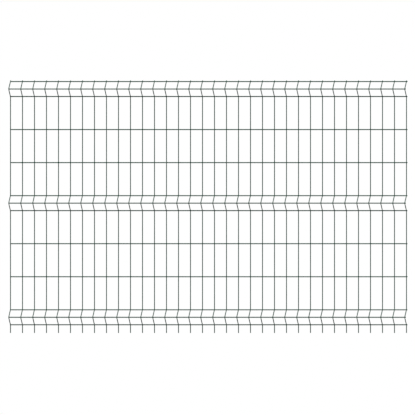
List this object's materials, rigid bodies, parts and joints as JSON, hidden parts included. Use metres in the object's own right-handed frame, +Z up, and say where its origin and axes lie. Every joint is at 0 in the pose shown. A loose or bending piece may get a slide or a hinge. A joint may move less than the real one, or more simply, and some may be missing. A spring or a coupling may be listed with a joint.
{
  "type": "welded mesh fence panel",
  "caption": "Rigid panel of upright and cross wires welded into a tall mesh, with V folds pressed across it for stiffness and free prongs at the foot.",
  "frame": {"origin": "centre of the sheared foot of the left edge wire, at ground level", "axes": "+X along the panel to the right as seen from the front, +Y to the back, +Z up; the folds stand out to the front, -Y"},
  "size_m": [2.5, 0.0498, 1.5294],
  "materials": {
    "upright_wire_coat": "satin",
    "cross_wire_coat": "satin"
  },
  "bodies": {
    "root": {"left_edge_wire": "upright_wire_coat", "upright_wire_02": "upright_wire_coat", "upright_wire_03": "upright_wire_coat", "upright_wire_04": "upright_wire_coat", "upright_wire_05": "upright_wire_coat", "upright_wire_06": "upright_wire_coat", "upright_wire_07": "upright_wire_coat", "upright_wire_08": "upright_wire_coat", "upright_wire_09": "upright_wire_coat", "upright_wire_10": "upright_wire_coat", "upright_wire_11": "upright_wire_coat", "upright_wire_12": "upright_wire_coat", "upright_wire_13": "upright_wire_coat", "upright_wire_14": "upright_wire_coat", "upright_wire_15": "upright_wire_coat", "upright_wire_16": "upright_wire_coat", "upright_wire_17": "upright_wire_coat", "upright_wire_18": "upright_wire_coat", "upright_wire_19": "upright_wire_coat", "upright_wire_20": "upright_wire_coat", "upright_wire_21": "upright_wire_coat", "upright_wire_22": "upright_wire_coat", "upright_wire_23": "upright_wire_coat", "upright_wire_24": "upright_wire_coat", "upright_wire_25": "upright_wire_coat", "upright_wire_26": "upright_wire_coat", "upright_wire_27": "upright_wire_coat", "upright_wire_28": "upright_wire_coat", "upright_wire_29": "upright_wire_coat", "upright_wire_30": "upright_wire_coat", "upright_wire_31": "upright_wire_coat", "upright_wire_32": "upright_wire_coat", "upright_wire_33": "upright_wire_coat", "right_edge_wire": "upright_wire_coat", "bottom_fold_lower_wire": "cross_wire_coat", "bottom_fold_apex_wire": "cross_wire_coat", "bottom_fold_upper_wire": "cross_wire_coat", "middle_fold_lower_wire": "cross_wire_coat", "middle_fold_apex_wire": "cross_wire_coat", "middle_fold_upper_wire": "cross_wire_coat", "top_fold_lower_wire": "cross_wire_coat", "top_fold_apex_wire": "cross_wire_coat", "top_fold_upper_wire": "cross_wire_coat", "lower_field_wire_1": "cross_wire_coat", "lower_field_wire_2": "cross_wire_coat", "upper_field_wire_1": "cross_wire_coat", "upper_field_wire_2": "cross_wire_coat"}
  },
  "joints": []
}
